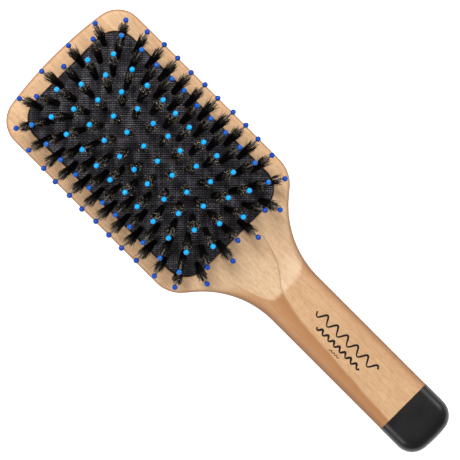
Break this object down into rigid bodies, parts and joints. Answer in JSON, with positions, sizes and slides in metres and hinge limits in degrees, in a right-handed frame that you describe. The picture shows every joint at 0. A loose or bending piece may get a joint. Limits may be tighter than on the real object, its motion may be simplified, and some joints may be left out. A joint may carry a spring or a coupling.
{
  "type": "paddle hair brush",
  "caption": "Wooden paddle brush: a domed air cushion carries rows of bristle tufts with ball-tipped quills, and the handle's end is dipped black.",
  "frame": {"origin": "under the middle of the brush, on the surface that its flat back lies on", "axes": "+Z out of the cushion, +Y from the handle to the head, +X across"},
  "size_m": [0.0812, 0.245, 0.0497],
  "materials": {
    "beech": "satin lacquer over pale beech",
    "black_dip": "satin-gloss black dip coat",
    "cushion": "rubber faced with fine black woven fabric",
    "bristle": "black natural bristle with brown tips",
    "quill": "clear nylon stem with a glossy blue ball"
  },
  "bodies": {
    "body": {"beech_body": "beech", "handle_dip": "black_dip"},
    "cushion": {"cushion": "cushion"},
    "row_1": {"bristle_row_1": "bristle", "quill_row_1": "quill"},
    "row_2": {"bristle_row_2": "bristle", "quill_row_2": "quill"},
    "row_3": {"bristle_row_3": "bristle", "quill_row_3": "quill"},
    "row_4": {"bristle_row_4": "bristle", "quill_row_4": "quill"},
    "row_5": {"bristle_row_5": "bristle", "quill_row_5": "quill"},
    "row_6": {"bristle_row_6": "bristle", "quill_row_6": "quill"},
    "row_7": {"bristle_row_7": "bristle", "quill_row_7": "quill"},
    "row_8": {"bristle_row_8": "bristle", "quill_row_8": "quill"},
    "row_9": {"bristle_row_9": "bristle", "quill_row_9": "quill"}
  },
  "joints": [
    {"name": "cushion_press", "type": "slide", "parent": "body", "child": "cushion", "axis": [0, 0, -1], "range_m": [0, 0.004], "stiffness_N_per_m": 2500, "deforming": ["cushion"]},
    {"name": "row_1_lean", "type": "hinge", "parent": "cushion", "child": "row_1", "pos_m": [-0.0272, 0.0598, 0.0148], "axis": [0, 1, 0], "range_deg": [-8, 8], "stiffness_Nm_per_rad": 0.05},
    {"name": "row_2_lean", "type": "hinge", "parent": "cushion", "child": "row_2", "pos_m": [-0.0204, 0.0598, 0.0179], "axis": [0, 1, 0], "range_deg": [-8, 8], "stiffness_Nm_per_rad": 0.05},
    {"name": "row_3_lean", "type": "hinge", "parent": "cushion", "child": "row_3", "pos_m": [-0.0136, 0.0598, 0.02], "axis": [0, 1, 0], "range_deg": [-8, 8], "stiffness_Nm_per_rad": 0.05},
    {"name": "row_4_lean", "type": "hinge", "parent": "cushion", "child": "row_4", "pos_m": [-0.0068, 0.0598, 0.0212], "axis": [0, 1, 0], "range_deg": [-8, 8], "stiffness_Nm_per_rad": 0.05},
    {"name": "row_5_lean", "type": "hinge", "parent": "cushion", "child": "row_5", "pos_m": [0, 0.0598, 0.0215], "axis": [0, 1, 0], "range_deg": [-8, 8], "stiffness_Nm_per_rad": 0.05},
    {"name": "row_6_lean", "type": "hinge", "parent": "cushion", "child": "row_6", "pos_m": [0.0068, 0.0598, 0.0212], "axis": [0, 1, 0], "range_deg": [-8, 8], "stiffness_Nm_per_rad": 0.05},
    {"name": "row_7_lean", "type": "hinge", "parent": "cushion", "child": "row_7", "pos_m": [0.0136, 0.0598, 0.02], "axis": [0, 1, 0], "range_deg": [-8, 8], "stiffness_Nm_per_rad": 0.05},
    {"name": "row_8_lean", "type": "hinge", "parent": "cushion", "child": "row_8", "pos_m": [0.0204, 0.0598, 0.0179], "axis": [0, 1, 0], "range_deg": [-8, 8], "stiffness_Nm_per_rad": 0.05},
    {"name": "row_9_lean", "type": "hinge", "parent": "cushion", "child": "row_9", "pos_m": [0.0272, 0.0598, 0.0148], "axis": [0, 1, 0], "range_deg": [-8, 8], "stiffness_Nm_per_rad": 0.05}
  ]
}
